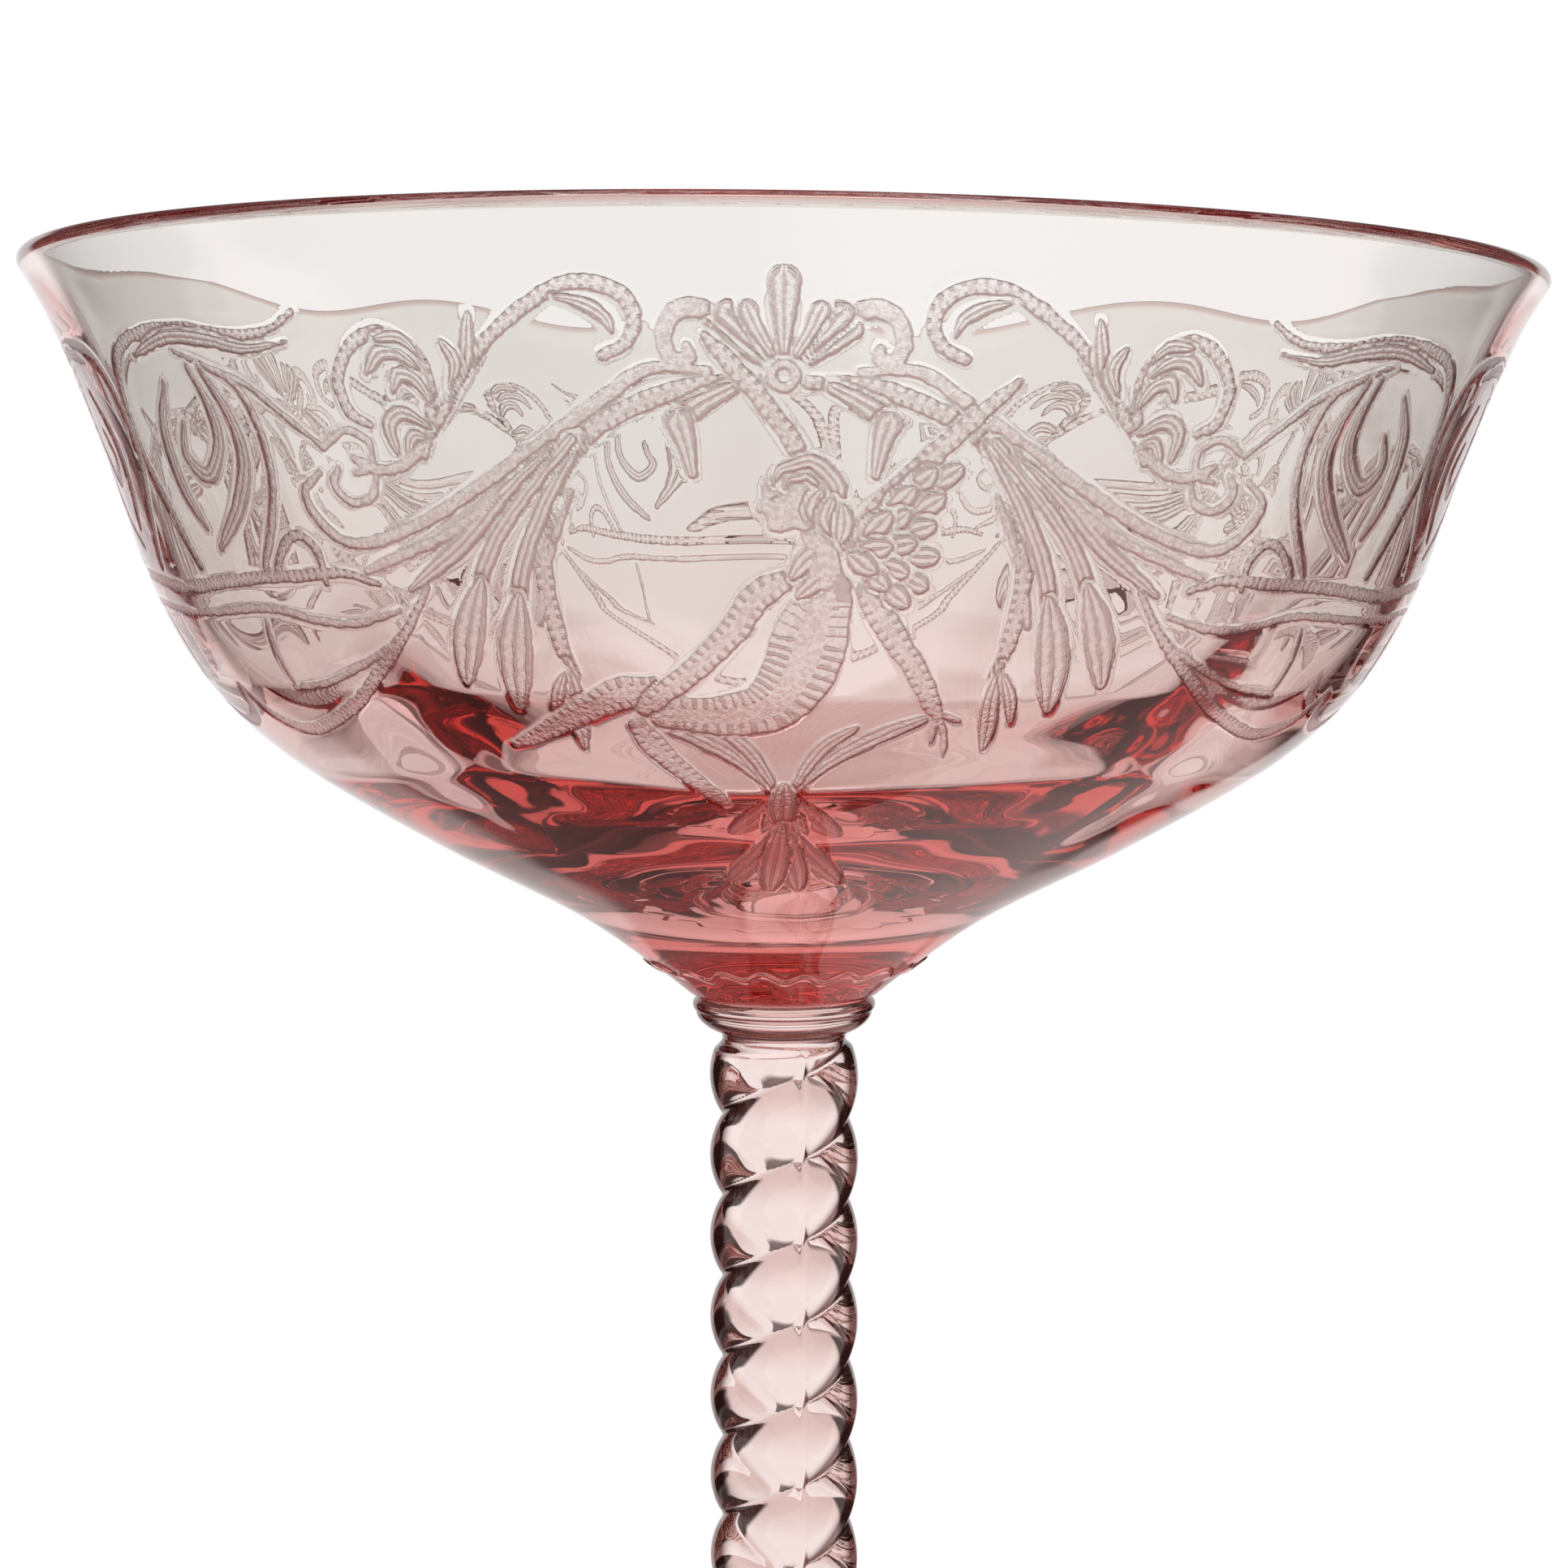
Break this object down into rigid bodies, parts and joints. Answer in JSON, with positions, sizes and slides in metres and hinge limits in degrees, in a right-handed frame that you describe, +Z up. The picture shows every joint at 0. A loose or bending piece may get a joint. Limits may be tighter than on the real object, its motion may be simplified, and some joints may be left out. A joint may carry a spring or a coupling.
{
  "type": "champagne coupe",
  "caption": "Pink glass champagne coupe with a shallow flared bowl, a rope-twisted stem between collars, and a wide domed foot.",
  "frame": {"origin": "centre of the foot's underside, on the plane the glass stands on", "axes": "+Z up the stem through the bowl; +Y away from the side shown in the picture; +X to that side's right"},
  "size_m": [0.103, 0.103, 0.155],
  "materials": {
    "bowl": "clear polished glass, pale rose at the rim and deeper at the base, with a satin etched frieze outside",
    "upper_collar": "clear polished rose glass, fire-polished",
    "twisted_stem": "clear pressed rose glass with a fine mould seam on two sides",
    "lower_collar": "clear polished rose glass, fire-polished",
    "foot": "clear polished rose glass"
  },
  "bodies": {
    "root": {"bowl": "bowl", "upper_collar": "upper_collar", "twisted_stem": "twisted_stem", "lower_collar": "lower_collar", "foot": "foot"}
  },
  "joints": []
}
